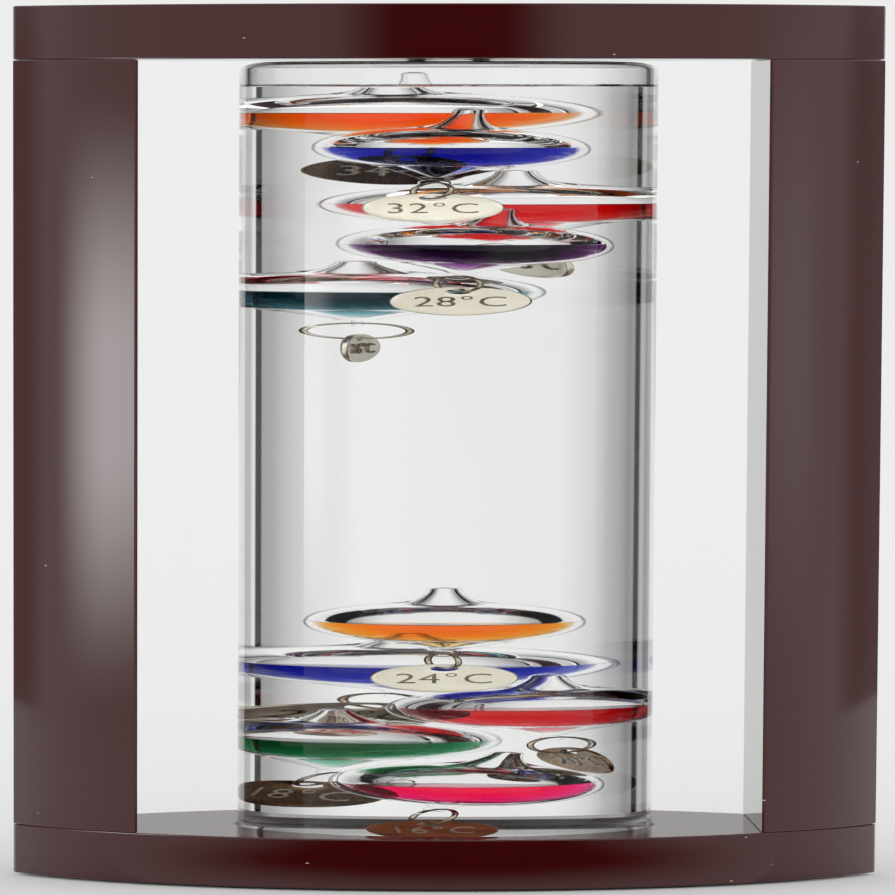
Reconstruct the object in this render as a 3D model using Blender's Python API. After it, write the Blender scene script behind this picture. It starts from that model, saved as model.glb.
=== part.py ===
"""Galileo thermometer: a lens-shaped wooden frame holding a glass tube, in which ten blown globes
with coloured liquid float or sink, each carrying a stamped tag on a wire ring.

Metres, +Z up, origin under the middle of the base, front towards -Y. Sizes below are in millimetres
and go through mm() or point() on their way into Blender.
"""

import math
from dataclasses import dataclass

import bmesh
import bpy
from mathutils import Euler, Matrix, Vector

# ---------------------------------------------------------------- driving dimensions, millimetres
GAP = 0.3  # running gap between pieces that touch on the real object
OVERSHOOT = 5.0  # how far a cutter reaches past the face it opens

HEIGHT = 440.0
HALF_WIDTH = 52.0
HALF_DEPTH = 32.0
EDGE_HALF = 1.3  # half the blunt width of the frame's side edges
WINDOW_HALF = 37.2  # half the width of the window between the posts
SILL_Z = 26.2  # top of the base block
HEADER_Z = 413.0  # underside of the header block
ARC_STEPS = 14
EDGE_BEVEL = 0.5
BEVEL_ANGLE = 40  # degrees: sharper edges than this are bevelled

FELT_THICKNESS = 1.0
FELT_INSET = 2.0

DOWEL_RADIUS = 2.7
DOWEL_LENGTH = 23.4
DOWEL_X = 43.0
DOWEL_SIDES = 12

TUBE_RADIUS = 25.0
TUBE_WALL = 1.3
TUBE_FLOOR = 2.3  # thickness of the tube's flat foot
TUBE_TOP_Z = 412.0
FOOT_RADIUS = 3.0
SHOULDER_RADIUS = 4.0
TUBE_SIDES = 32
TUBE_ARC_STEPS = 3
RECESS_DEPTH = 6.5  # of the round pocket in the base that the tube stands in
RECESS_RADIUS = TUBE_RADIUS + 0.4
FOOT_PAD_RADIUS = 20.0
FOOT_PAD_THICKNESS = 0.6

NIPPLE_RADIUS = 4.4
NIPPLE_BORE = 3.1
NIPPLE_LENGTH = 9.0
NIPPLE_FILLET = 2.0
HEADER_BORE_RADIUS = 9.0
HEADER_BORE_DEPTH = 13.0
GROMMET_HEIGHT = 5.0
SEAL_STEM = 4.0  # how far the bead's stem reaches down the nipple's bore
SEAL_SIDES = 16

GLOBE_RADIUS = 13.8
GLOBE_HALF_HEIGHT = 10.6
GLOBE_WALL = 0.9
GLOBE_SIDES = 12
BOWL_ANGLE = 72  # degrees up and down from the widest circle to where the bowl ends
BOWL_STEPS = 7
STEM_ROOT = 4.4  # radius at which neck and tail leave the bowl
FLARE_RISE = 2.2  # height of the neck's flare above the dome
FLARE_RADIUS = 2.0
NECK_RADIUS = 1.4  # below the tip's taper
NECK_TIP_RADIUS = 0.9
NECK_TAPER = 1.0
NECK_BORE = 0.5
TAIL_RADIUS = 1.5
TAIL_SWELL = 0.5  # how much wider the tail gets just above its end
TAIL_SWELL_RISE = 1.2
CAVITY_LOW_RISE = 1.6  # glass left under the cavity's lowest point
CAVITY_LOW_RADIUS = 0.9
CAVITY_LOW_STEP = 0.2
CAVITY_TOP_RISE = 1.0  # above the dome, where the cavity runs into the neck's bore
EYE_RADIUS = 1.35  # hook under the tail, to the middle of its glass
EYE_WIRE = 0.45
EYE_SIDES = (8, 4)  # around the hook, across its wire
RING_RADIUS = 3.9
RING_WIRE = 0.38
RING_SIDES = (16, 5)
TAG_RADIUS = 7.1
TAG_THICKNESS = 0.7
TAG_HOLE_RADIUS = 1.4
TAG_HOLE_RISE = 4.8  # from the tag's middle to its hole
TAG_SIDES = 20


@dataclass
class Globe:
    """One float: where it hangs, how it leans, and how its ring and tag hang from it (degrees)."""

    label: int  # temperature stamped on the tag
    colour: tuple
    centre: tuple  # middle of the globe's widest circle
    neck: float  # from the middle up to the tip of the neck
    tail: float  # from the middle down to the middle of the hook
    lean: float = 0.0  # of the neck, towards +X
    ring: tuple = (0.0, 0.0, 0.0)  # lean of its lower end towards +X and +Y, then turn about Z
    tag: tuple = (0.0, 0.0, 0.0)


GLOBES = [
    Globe(34, (0.85, 0.16, 0.01), (-3.2, 9.0, 385.6), 21.5, 16.0, -2, (-3, 6, -30), (-2, 2, -45)),
    Globe(32, (0.01, 0.05, 0.55), (0.0, -9.2, 368.6), 20.5, 17.2, 5.5, (-2, -10, 25), (0, -5, 0)),
    Globe(30, (0.65, 0.01, 0.01), (5.0, 8.1, 340.1), 18.0, 17.5, 0, (8, 9, -50), (4, 8, -62)),
    Globe(28, (0.05, 0.005, 0.06), (2.7, -8.6, 320.5), 19.0, 15.5, 7, (0, 0, 32), (0, 0, 15)),
    Globe(26, (0.003, 0.05, 0.07), (-6.4, 7.0, 296.1), 16.5, 15.5, 0, (0, 0, 80), (0, 0, 71)),
    Globe(24, (0.9, 0.22, 0.01), (-0.4, -8.4, 131.2), 18.5, 15.2, 0, (0, 0, 20), (0, 0, 0)),
    Globe(22, (0.01, 0.06, 0.6), (-2.4, 9.1, 107.2), 16.5, 15.0, 0, (-18, 30, 30), (-8, 22, 10)),
    Globe(20, (0.75, 0.01, 0.01), (8.7, -1.4, 87.1), 17.5, 15.2, 0, (14, 14, -32), (10, 8, -54)),
    Globe(18, (0.0, 0.16, 0.08), (-9.1, 0.9, 70.3), 16.5, 16.5, 0, (-12, 20, -45), (-8, 12, -8)),
    Globe(16, (0.9, 0.0, 0.16), (2.1, -9.0, 49.8), 17.5, 12.9, 13, (-8, -25, 30), (0, -60, 0)),
]

WOOD = ("dark_lacquered_wood", (0.05, 0.006, 0.006), 0.12, 0.0)
DOWEL_WOOD = ("beech_dowel", (0.55, 0.38, 0.22), 0.6, 0.0)
FELT = ("black_felt", (0.02, 0.02, 0.02), 0.95, 0.0)
CLEAR_GLASS = ("clear_glass", (0.85, 0.9, 0.9), 0.03, 0.0)
SOFT_SEAL = ("silicone", (0.5, 0.5, 0.48), 0.6, 0.0)
TAG_METAL = ("champagne_brass", (0.7, 0.6, 0.42), 0.25, 1.0)


# ---------------------------------------------------------------- helpers
def mm(value):
    return value / 1000


def point(x, y, z):
    return Vector((mm(x), mm(y), mm(z)))


def clear_scene():
    for obj in list(bpy.data.objects):
        bpy.data.objects.remove(obj)


def material(name, colour, roughness, metallic):
    """A Principled material, made once and then shared."""
    found = bpy.data.materials.get(name)
    if found:
        return found
    made = bpy.data.materials.new(name)
    made.use_nodes = True
    shader = made.node_tree.nodes["Principled BSDF"]
    shader.inputs["Base Color"].default_value = (*colour, 1.0)
    shader.inputs["Roughness"].default_value = roughness
    shader.inputs["Metallic"].default_value = metallic
    made.diffuse_color = (*colour, 1.0)
    return made


def object_from(bm, name, finish, smooth_angle=None):
    """Turns a bmesh into a named object with outward normals and its own material."""
    bmesh.ops.recalc_face_normals(bm, faces=bm.faces)
    mesh = bpy.data.meshes.new(name)
    bm.to_mesh(mesh)
    bm.free()
    obj = bpy.data.objects.new(name, mesh)
    bpy.context.scene.collection.objects.link(obj)
    if finish:
        mesh.materials.append(material(*finish))
    if smooth_angle:
        mesh.shade_smooth()
        mesh.set_sharp_from_angle(angle=math.radians(smooth_angle))
    return obj


def empty(name, location, parent=None):
    """A frame that pieces hang from; it has no shape."""
    made = bpy.data.objects.new(name, None)
    made.location = location
    made.parent = parent
    bpy.context.scene.collection.objects.link(made)
    return made


def arc(centre, radius, start, end, steps):
    """Points of an arc from start to end degrees, both ends included."""
    turns = [math.radians(start + (end - start) * i / steps) for i in range(steps + 1)]
    return [(centre[0] + radius * math.cos(t), centre[1] + radius * math.sin(t)) for t in turns]


def lathe(profile, sides):
    """Spins (radius, height) points about Z. Ends on the axis close the skin; else the loop closes."""
    bm = bmesh.new()
    closed_loop = profile[0][0] > 0
    rings = []
    for radius, height in profile:
        if radius == 0:
            rings.append([bm.verts.new(point(0, 0, height))] * sides)
            continue
        turns = [2 * math.pi * i / sides for i in range(sides)]
        ring = [bm.verts.new(point(radius * math.cos(t), radius * math.sin(t), height)) for t in turns]
        rings.append(ring)
    pairs = list(zip(rings, rings[1:]))
    if closed_loop:
        pairs.append((rings[-1], rings[0]))
    for lower, upper in pairs:
        for i in range(sides):
            j = (i + 1) % sides
            corners = [lower[i], lower[j], upper[j], upper[i]]
            corners = [v for k, v in enumerate(corners) if v not in corners[:k]]
            bm.faces.new(corners)
    return bm


def torus(radius, wire, around, across):
    """A ring of round wire in the YZ plane about the origin."""
    bm = bmesh.new()
    loops = []
    for i in range(around):
        t = 2 * math.pi * i / around
        loop = []
        for j in range(across):
            s = 2 * math.pi * j / across
            reach = radius + wire * math.cos(s)
            loop.append(bm.verts.new(point(wire * math.sin(s), reach * math.cos(t), reach * math.sin(t))))
        loops.append(loop)
    for i in range(around):
        for j in range(across):
            k, m = (i + 1) % around, (j + 1) % across
            bm.faces.new([loops[i][j], loops[k][j], loops[k][m], loops[i][m]])
    return bm


def prism(outline, low, high):
    """Extrudes a plan outline of (x, y) points from one height to another."""
    bm = bmesh.new()
    base = bm.faces.new([bm.verts.new(point(x, y, low)) for x, y in outline])
    raised = bmesh.ops.extrude_face_region(bm, geom=[base])
    verts = [v for v in raised["geom"] if isinstance(v, bmesh.types.BMVert)]
    bmesh.ops.translate(bm, vec=point(0, 0, high - low), verts=verts)
    return bm


def cylinder_cutter(name, centre, radius, low, high, sides):
    """A hidden cutter: an upright cylinder."""
    bm = lathe([(0, low), (radius, low), (radius, high), (0, high)], sides)
    cutter = object_from(bm, name, None)
    cutter.location = point(*centre, 0)
    cutter.hide_render = True
    cutter.display_type = "WIRE"
    return cutter


def cut(obj, cutter):
    boolean = obj.modifiers.new("Cut_" + cutter.name, "BOOLEAN")
    boolean.operation = "DIFFERENCE"
    boolean.solver = "EXACT"
    boolean.object = cutter


def bevel_edges(obj):
    bevel = obj.modifiers.new("Soft_edges", "BEVEL")
    bevel.width = mm(EDGE_BEVEL)
    bevel.segments = 1
    bevel.limit_method = "ANGLE"
    bevel.angle_limit = math.radians(BEVEL_ANGLE)


# ---------------------------------------------------------------- wooden frame
def lens_radius(half_width, half_depth, edge_half):
    """Radius of the front and back arcs of the lens-shaped plan."""
    rise = half_depth - edge_half
    return (half_width**2 + rise**2) / (2 * rise)


def lens_depth(x, inset=0.0):
    """Half the frame's depth at this x, with the outline moved in by inset."""
    radius = lens_radius(HALF_WIDTH, HALF_DEPTH, EDGE_HALF)
    centre = HALF_DEPTH - radius
    return centre + math.sqrt((radius - inset) ** 2 - x**2)


def lens_outline(x_low, x_high, steps, inset=0.0):
    """The part of the plan between two x values, walked along the front and back again."""
    xs = [x_low + (x_high - x_low) * i / steps for i in range(steps + 1)]
    front = [(x, -lens_depth(x, inset)) for x in xs]
    back = [(x, lens_depth(x, inset)) for x in reversed(xs)]
    return front + back


def dowel_hole(block, side, middle_z):
    """A blind hole for half a dowel, and a gap more."""
    reach = DOWEL_LENGTH / 2 + GAP
    where = "left" if side < 0 else "right"
    name = f"cutter_{block.name}_{where}_{round(middle_z)}"
    place = (side * DOWEL_X, 0)
    cutter = cylinder_cutter(name, place, DOWEL_RADIUS + GAP, middle_z - reach, middle_z + reach, DOWEL_SIDES)
    cut(block, cutter)


def frame_blocks():
    """Base, header and the two posts, each with its dowel holes."""
    bottom = FELT_THICKNESS + GAP
    full = lens_outline(-HALF_WIDTH, HALF_WIDTH, 2 * ARC_STEPS)
    base = object_from(prism(full, bottom, SILL_Z), "base_block", WOOD, 30)
    header = object_from(prism(full, HEADER_Z, HEIGHT), "header_block", WOOD, 30)
    posts = []
    for name, side in (("left_post", -1), ("right_post", 1)):
        ends = sorted((side * WINDOW_HALF, side * HALF_WIDTH))
        outline = lens_outline(*ends, ARC_STEPS // 3)
        posts.append(object_from(prism(outline, SILL_Z + GAP, HEADER_Z - GAP), name, WOOD, 30))
    for block in (base, header, *posts):
        bevel_edges(block)
    for side, post in zip((-1, 1), posts):
        for block, joint_z in ((base, SILL_Z), (header, HEADER_Z), (post, SILL_Z), (post, HEADER_Z)):
            dowel_hole(block, side, joint_z)
    low, high = SILL_Z - RECESS_DEPTH, SILL_Z + OVERSHOOT
    cut(base, cylinder_cutter("cutter_recess", (0, 0), RECESS_RADIUS, low, high, TUBE_SIDES))
    low, high = HEADER_Z - OVERSHOOT, HEADER_Z + HEADER_BORE_DEPTH
    cut(header, cylinder_cutter("cutter_bore", (0, 0), HEADER_BORE_RADIUS, low, high, SEAL_SIDES))


def dowels():
    half = DOWEL_LENGTH / 2
    for side_name, side in (("left", -1), ("right", 1)):
        for end_name, joint_z in (("lower", SILL_Z), ("upper", HEADER_Z)):
            profile = [(0, -half), (DOWEL_RADIUS, -half), (DOWEL_RADIUS, half), (0, half)]
            name = f"dowel_{side_name}_{end_name}"
            dowel = object_from(lathe(profile, DOWEL_SIDES), name, DOWEL_WOOD, 40)
            dowel.location = point(side * DOWEL_X, 0, joint_z)


def felt_pad():
    outline = lens_outline(-HALF_WIDTH + 2 * FELT_INSET, HALF_WIDTH - 2 * FELT_INSET, ARC_STEPS, FELT_INSET)
    object_from(prism(outline, 0, FELT_THICKNESS), "felt_pad", FELT)


# ---------------------------------------------------------------- tube and its seats
def tube_floor_z():
    """Height of the outside of the tube's foot: recess, gap, foot pad, gap."""
    return SILL_Z - RECESS_DEPTH + GAP + FOOT_PAD_THICKNESS + GAP


def glass_tube():
    """Flat foot, straight wall, rounded shoulder, then the filling nipple with its fine bore."""
    steps = TUBE_ARC_STEPS
    foot = tube_floor_z()
    inner = TUBE_RADIUS - TUBE_WALL
    inner_foot = FOOT_RADIUS - TUBE_WALL / 2
    inner_shoulder = SHOULDER_RADIUS - TUBE_WALL
    inner_top = TUBE_TOP_Z - TUBE_WALL
    tip = TUBE_TOP_Z + NIPPLE_LENGTH
    outside = [(0, foot)]
    outside += arc((TUBE_RADIUS - FOOT_RADIUS, foot + FOOT_RADIUS), FOOT_RADIUS, -90, 0, steps)
    shoulder = (TUBE_RADIUS - SHOULDER_RADIUS, TUBE_TOP_Z - SHOULDER_RADIUS)
    outside += arc(shoulder, SHOULDER_RADIUS, 0, 90, steps)
    fillet = (NIPPLE_RADIUS + NIPPLE_FILLET, TUBE_TOP_Z + NIPPLE_FILLET)
    outside += arc(fillet, NIPPLE_FILLET, 270, 180, 2)
    outside += [(NIPPLE_RADIUS, tip), (NIPPLE_BORE, tip)]
    inside = [(NIPPLE_BORE, inner_top)]
    inside += arc((inner - inner_shoulder, inner_top - inner_shoulder), inner_shoulder, 90, 0, steps)
    floor = foot + TUBE_FLOOR
    inside += arc((inner - inner_foot, floor + inner_foot), inner_foot, 0, -90, steps)
    inside += [(0, floor)]
    object_from(lathe(outside + inside, TUBE_SIDES), "glass_tube", CLEAR_GLASS, 30)


def tube_seats():
    """The foot pad, the grommet round the nipple and the bead that closes it."""
    pad_low = SILL_Z - RECESS_DEPTH + GAP
    pad_high = pad_low + FOOT_PAD_THICKNESS
    profile = [(0, pad_low), (FOOT_PAD_RADIUS, pad_low), (FOOT_PAD_RADIUS, pad_high), (0, pad_high)]
    object_from(lathe(profile, SEAL_SIDES), "tube_foot_pad", SOFT_SEAL, 40)

    low = TUBE_TOP_Z + NIPPLE_FILLET + GAP
    high = low + GROMMET_HEIGHT
    inner = NIPPLE_RADIUS + GAP
    outer = HEADER_BORE_RADIUS - GAP
    profile = [(inner, low), (outer, low), (outer, high), (inner, high)]
    object_from(lathe(profile, SEAL_SIDES), "header_grommet", SOFT_SEAL, 40)

    tip = TUBE_TOP_Z + NIPPLE_LENGTH
    stem = NIPPLE_BORE - GAP
    head = NIPPLE_RADIUS - GAP
    seat = tip + GAP
    dome = arc((0, seat), head, 0, 90, TUBE_ARC_STEPS)[:-1]
    low = tip - SEAL_STEM
    profile = [(0, low), (stem, low), (stem, seat), *dome, (0, seat + head)]
    object_from(lathe(profile, SEAL_SIDES), "tip_seal", CLEAR_GLASS, 30)


# ---------------------------------------------------------------- globes
def bowl(wall):
    """Bottom to top, points on the globe's flattened sphere pulled in by wall, clear of its stems."""
    unit = arc((0, 0), 1.0, -BOWL_ANGLE, BOWL_ANGLE, BOWL_STEPS)
    scaled = [((GLOBE_RADIUS - wall) * x, (GLOBE_HALF_HEIGHT - wall) * z) for x, z in unit]
    return [(radius, height) for radius, height in scaled if radius >= STEM_ROOT - wall]


def globe_outside(globe):
    """Tail, bowl, dome, flare and neck of the glass, bottom to top."""
    tail_end = -globe.tail + EYE_RADIUS
    points = [(0, tail_end), (TAIL_RADIUS, tail_end)]
    points += [(TAIL_RADIUS + TAIL_SWELL, tail_end + TAIL_SWELL_RISE)]
    points += bowl(0)
    points += [(FLARE_RADIUS, GLOBE_HALF_HEIGHT + FLARE_RISE)]
    points += [(NECK_RADIUS, globe.neck - NECK_TAPER), (NECK_TIP_RADIUS, globe.neck)]
    return points


def globe_inside(globe, shrink=0.0):
    """The cavity, bottom to top, pulled in by shrink to give the liquid's own outline."""
    low = -globe.tail + EYE_RADIUS + CAVITY_LOW_RISE + shrink
    points = [(0, low), (CAVITY_LOW_RADIUS, low + CAVITY_LOW_STEP)]
    points += bowl(GLOBE_WALL + shrink)
    points += [(NECK_BORE, GLOBE_HALF_HEIGHT + CAVITY_TOP_RISE)]
    return points


def globe_shell(globe, parent):
    """The blown glass with its hook; the fine bore in the neck is where it was filled."""
    profile = globe_outside(globe) + [(NECK_BORE, globe.neck)] + globe_inside(globe)[::-1]
    shell = object_from(lathe(profile, GLOBE_SIDES), f"globe_{globe.label}_shell", CLEAR_GLASS, 35)
    shell.parent = parent
    shell.rotation_euler = Euler((0, math.radians(globe.lean), 0))
    hook = object_from(torus(EYE_RADIUS, EYE_WIRE, *EYE_SIDES), f"cutter_hook_{globe.label}", None)
    hook.data.transform(Matrix.Rotation(math.radians(90 + globe.ring[2]), 4, "Z"))
    hook.parent = shell
    hook.location = point(0, 0, -globe.tail)
    hook.hide_render = True
    hook.display_type = "WIRE"
    union = shell.modifiers.new("Hook", "BOOLEAN")
    union.operation = "UNION"
    union.solver = "EXACT"
    union.object = hook


def globe_liquid(globe, parent):
    """The coloured liquid: the cavity up to the globe's middle, level even where the globe leans."""
    outline = globe_inside(globe, GAP)
    bm = lathe(outline + [(0, GLOBE_HALF_HEIGHT)], GLOBE_SIDES)
    lean = Matrix.Rotation(math.radians(globe.lean), 3, "Y")
    bmesh.ops.rotate(bm, matrix=lean, verts=bm.verts)
    geometry = list(bm.verts) + list(bm.edges) + list(bm.faces)
    sliced = bmesh.ops.bisect_plane(bm, geom=geometry, plane_co=(0, 0, 0), plane_no=(0, 0, 1), clear_outer=True)
    rim = [e for e in sliced["geom_cut"] if isinstance(e, bmesh.types.BMEdge)]
    bmesh.ops.holes_fill(bm, edges=rim)
    finish = (f"liquid_{globe.label}", globe.colour, 0.05, 0.0)
    liquid = object_from(bm, f"globe_{globe.label}_liquid", finish, 35)
    liquid.parent = parent


def hanging_turn(lean_x, lean_y, turn):
    """Rotation of a hanging piece whose lower end leans to +X and +Y, after a turn about Z."""
    about_x = Matrix.Rotation(math.radians(lean_y), 3, "X")
    about_y = Matrix.Rotation(math.radians(-lean_x), 3, "Y")
    return about_x @ about_y @ Matrix.Rotation(math.radians(turn), 3, "Z")


def hook_place(globe):
    """Middle of the globe's hook, from the globe's middle."""
    return Matrix.Rotation(math.radians(globe.lean), 3, "Y") @ point(0, 0, -globe.tail)


def wire_ring(globe, parent):
    """A wire ring whose origin is where it passes through the hook."""
    bm = torus(RING_RADIUS, RING_WIRE, *RING_SIDES)
    bmesh.ops.translate(bm, vec=point(0, 0, -RING_RADIUS), verts=bm.verts)
    ring = object_from(bm, f"globe_{globe.label}_ring", TAG_METAL, 60)
    ring.parent = parent
    ring.location = hook_place(globe)
    ring.rotation_euler = hanging_turn(*globe.ring).to_euler()


def tag_place(globe):
    """Middle of the tag's hole, at the ring's lowest point, from the globe's middle."""
    return hook_place(globe) + hanging_turn(*globe.ring) @ point(0, 0, -2 * RING_RADIUS)


def stamped_tag(globe, parent):
    """A round disc with its hole near the rim; the origin is the middle of the hole."""
    bm = bmesh.new()
    turns = [2 * math.pi * (i + 0.5) / TAG_SIDES for i in range(TAG_SIDES)]
    loops = []
    for y, order in ((-TAG_THICKNESS / 2, 1), (TAG_THICKNESS / 2, -1)):
        hole, rim = [], []
        for turn in turns:
            across, up = math.cos(turn), math.sin(turn)
            along = up * TAG_HOLE_RISE
            reach = -along + math.sqrt(along**2 + TAG_RADIUS**2 - TAG_HOLE_RISE**2)
            hole.append(bm.verts.new(point(TAG_HOLE_RADIUS * across, y, TAG_HOLE_RADIUS * up)))
            rim.append(bm.verts.new(point(reach * across, y, reach * up)))
        loops += [hole, rim][::order]
    for first, second in zip(loops, loops[1:] + loops[:1]):
        for i in range(TAG_SIDES):
            j = (i + 1) % TAG_SIDES
            bm.faces.new([first[i], first[j], second[j], second[i]])
    tag = object_from(bm, f"globe_{globe.label}_tag", TAG_METAL, 40)
    tag.parent = parent
    tag.location = tag_place(globe)
    tag.rotation_euler = hanging_turn(*globe.tag).to_euler()


def globes():
    for globe in GLOBES:
        parent = empty(f"globe_{globe.label}_frame", point(*globe.centre))
        globe_shell(globe, parent)
        globe_liquid(globe, parent)
        wire_ring(globe, parent)
        stamped_tag(globe, parent)


def main():
    clear_scene()
    frame_blocks()
    dowels()
    felt_pad()
    glass_tube()
    tube_seats()
    globes()


main()
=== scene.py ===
"""Looks of the Galileo thermometer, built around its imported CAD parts.

The sizes below are millimetres, and go through mm() or point() on their way into Blender.

Light passes from the air through the tube's wall, the clear liquid, a globe's wall, and its coloured liquid
or the air above it. Each skin's IOR and the small overlaps between neighbouring skins are set so that this
adds up.
"""

import math

import bmesh
import bpy
from mathutils import Matrix, Vector


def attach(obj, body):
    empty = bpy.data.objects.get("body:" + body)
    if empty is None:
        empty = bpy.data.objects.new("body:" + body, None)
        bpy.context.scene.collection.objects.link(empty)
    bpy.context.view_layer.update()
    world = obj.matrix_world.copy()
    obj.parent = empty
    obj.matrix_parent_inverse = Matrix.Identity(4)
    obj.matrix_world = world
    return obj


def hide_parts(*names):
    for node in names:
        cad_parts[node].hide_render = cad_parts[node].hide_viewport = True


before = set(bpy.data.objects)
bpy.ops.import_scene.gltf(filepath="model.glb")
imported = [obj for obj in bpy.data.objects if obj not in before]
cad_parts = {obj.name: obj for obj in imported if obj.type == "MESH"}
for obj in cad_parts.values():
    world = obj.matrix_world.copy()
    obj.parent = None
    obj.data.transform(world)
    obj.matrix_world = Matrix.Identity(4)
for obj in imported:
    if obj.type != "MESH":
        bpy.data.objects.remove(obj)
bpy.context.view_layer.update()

# ---------------------------------------------------------------- sizes, millimetres
HALF_WIDTH = 52.0
HALF_DEPTH = 32.0
EDGE_HALF = 1.3
WINDOW_HALF = 37.2
SILL_Z = 26.2
HEADER_Z = 413.0
HEIGHT = 440.0
BASE_LOW_Z = 1.3
JOINT_GAP = 0.05  # hairline between a post and the blocks it is glued to
WOOD_BEVEL = 0.55
RECESS_RADIUS = 25.4
RECESS_DEPTH = 6.5
HEADER_BORE_RADIUS = 9.0
HEADER_BORE_DEPTH = 13.0
DOWEL_X = 43.0
DOWEL_RADIUS = 3.0
DOWEL_HALF_LENGTH = 12.0

TUBE_RADIUS = 25.0
TUBE_WALL = 1.3
TUBE_FOOT_Z = 20.9
TUBE_FLOOR = 2.3
TUBE_TOP_Z = 412.0
FOOT_RADIUS = 3.0
SHOULDER_RADIUS = 4.0
NIPPLE_RADIUS = 4.4
NIPPLE_BORE = 3.1
NIPPLE_LENGTH = 9.0
LIQUID_Z = 399.1
MENISCUS = 1.3  # how far the liquid is drawn up the tube's wall
MENISCUS_WIDTH = 1.5  # over which it falls to 1/e of that
CONTACT = 0.08  # how far a liquid's skin reaches into the glass that it wets

GLOBE_RADIUS = 13.8
GLOBE_HALF_HEIGHT = 10.6
GLOBE_WALL = 0.9
DYE_RISE = 0.55  # how far a coloured liquid is drawn up its globe's wall
DYE_RISE_WIDTH = 0.7
STEM_ROOT = 4.4  # radius at which neck and tail leave the bowl
NECK_ROOT = GLOBE_HALF_HEIGHT + 1.0  # height where the bowl has become the neck
NECK_ROOT_RADIUS = 2.9
NECK_MIDDLE_RADIUS = 1.9  # slim enough that the tag of the globe above swings past
NECK_RADIUS = 1.65
NECK_WALL = 0.35
TAIL_RADIUS = 1.5
EYE_RADIUS = 1.35
EYE_WIRE = 0.45
RING_RADIUS = 3.9
RING_WIRE = 0.36
TAG_RADIUS = 7.1
TAG_THICKNESS = 0.7
TAG_HOLE_RADIUS = 1.3
TAG_HOLE_RISE = 4.8  # of the hole above the tag's middle
TAG_RIM = 0.05  # height of the rim above the face
FIGURE_SIZE = 4.6
FIGURE_RELIEF = 0.13
FIGURE_BEVEL = 0.04
FIGURE_THINNING = 0.06
FIGURE_STRETCH = (0.94, 1.55)  # across and up

GLASS_IOR = 1.47
LIQUID_IOR = 1.44
GLOBE_IOR = 1.045  # of a globe's wall against the clear liquid round it
DYE_IOR = 1.35

ROUND = 96  # sides of a turned piece, unless it says otherwise
TUBE_SIDES = 128
GLOBE_SIDES = 72
WIRE_SIDES = 12
SURROUNDINGS = 0.85  # brightness of the studio all round


class Globe:
    """One float.

    centre is the middle of its bowl, neck and tail reach up and down from there, and lean tips it to +X.
    ring and tag hang with their lower ends leaning to +X and +Y, after a turn about Z, all in degrees.
    dye and density are its liquid's colour and how strongly it absorbs, per metre.
    """

    def __init__(self, label, centre, neck, tail, lean, ring, tag, dye, density):
        self.label = label
        self.centre = centre
        self.neck = neck
        self.tail = tail
        self.lean = lean
        self.ring = ring
        self.tag = tag
        self.dye = dye
        self.density = density


# label, centre, neck, tail, lean, ring, tag, dye, density
GLOBES = [
    Globe(34, (-3.2, 9.0, 385.6), 21.5, 16.0, -2, (-3, 6, -30), (-2, 2, -45), (1.0, 0.61, 0.02), 270),
    Globe(32, (0.0, -9.2, 368.6), 20.5, 17.2, 5.5, (-2, -10, 25), (0, -5, 0), (0.02, 0.10, 0.80), 280),
    Globe(30, (5.0, 8.1, 340.1), 18.0, 17.5, 0, (8, 9, -50), (4, 8, -62), (0.95, 0.01, 0.04), 280),
    Globe(28, (2.7, -8.6, 320.5), 19.0, 15.5, 7, (0, 0, 32), (0, 0, 15), (0.45, 0.01, 0.50), 400),
    Globe(26, (-6.4, 7.0, 296.1), 16.5, 15.5, 0, (0, 0, 80), (0, 0, 71), (0.02, 0.50, 0.56), 330),
    Globe(24, (-0.4, -8.4, 131.2), 18.5, 15.2, 0, (0, 0, 20), (0, 0, 0), (1.0, 0.75, 0.01), 320),
    Globe(22, (-2.4, 9.1, 107.2), 16.5, 15.0, 0, (-18, 30, 30), (-8, 22, 10), (0.02, 0.12, 0.78), 250),
    Globe(20, (8.7, -1.4, 87.1), 17.5, 15.2, 0, (14, 14, -32), (10, 8, -54), (0.92, 0.01, 0.10), 240),
    Globe(18, (-9.1, 0.9, 70.3), 16.5, 16.5, 0, (-12, 20, -45), (-8, 12, -8), (0.01, 0.60, 0.36), 290),
    Globe(16, (2.1, -9.0, 49.8), 17.5, 12.9, 13, (-8, -25, 30), (0, -60, 0), (1.0, 0.01, 0.60), 300),
]


# ---------------------------------------------------------------- helpers
def mm(value):
    return value / 1000


def point(x, y, z):
    return Vector((mm(x), mm(y), mm(z)))


def object_from(bm, name, *materials, angle=35, hollow=None):
    """Turns a bmesh into a smooth-shaded object whose creases are the edges sharper than angle.

    The faces of material number hollow line a cavity, so they turn round to face into it.
    """
    bmesh.ops.remove_doubles(bm, verts=bm.verts, dist=1e-7)
    bmesh.ops.recalc_face_normals(bm, faces=bm.faces)
    if hollow is not None:
        bmesh.ops.reverse_faces(bm, faces=[face for face in bm.faces if face.material_index == hollow])
    mesh = bpy.data.meshes.new(name)
    bm.to_mesh(mesh)
    bm.free()
    for item in materials:
        mesh.materials.append(item)
    mesh.shade_smooth()
    mesh.set_sharp_from_angle(angle=math.radians(angle))
    obj = bpy.data.objects.new(name, mesh)
    bpy.context.scene.collection.objects.link(obj)
    return obj


def ride_for(obj, body, slot, *nodes):
    """The piece moves with a body and stands for those CAD nodes. slot is not used."""
    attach(obj, body)
    if nodes:
        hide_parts(*nodes)


def apply_modifiers(obj):
    """Bakes an object's modifiers into its mesh."""
    depsgraph = bpy.context.evaluated_depsgraph_get()
    baked = bpy.data.meshes.new_from_object(obj.evaluated_get(depsgraph))
    obj.modifiers.clear()
    obj.data = baked


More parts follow.
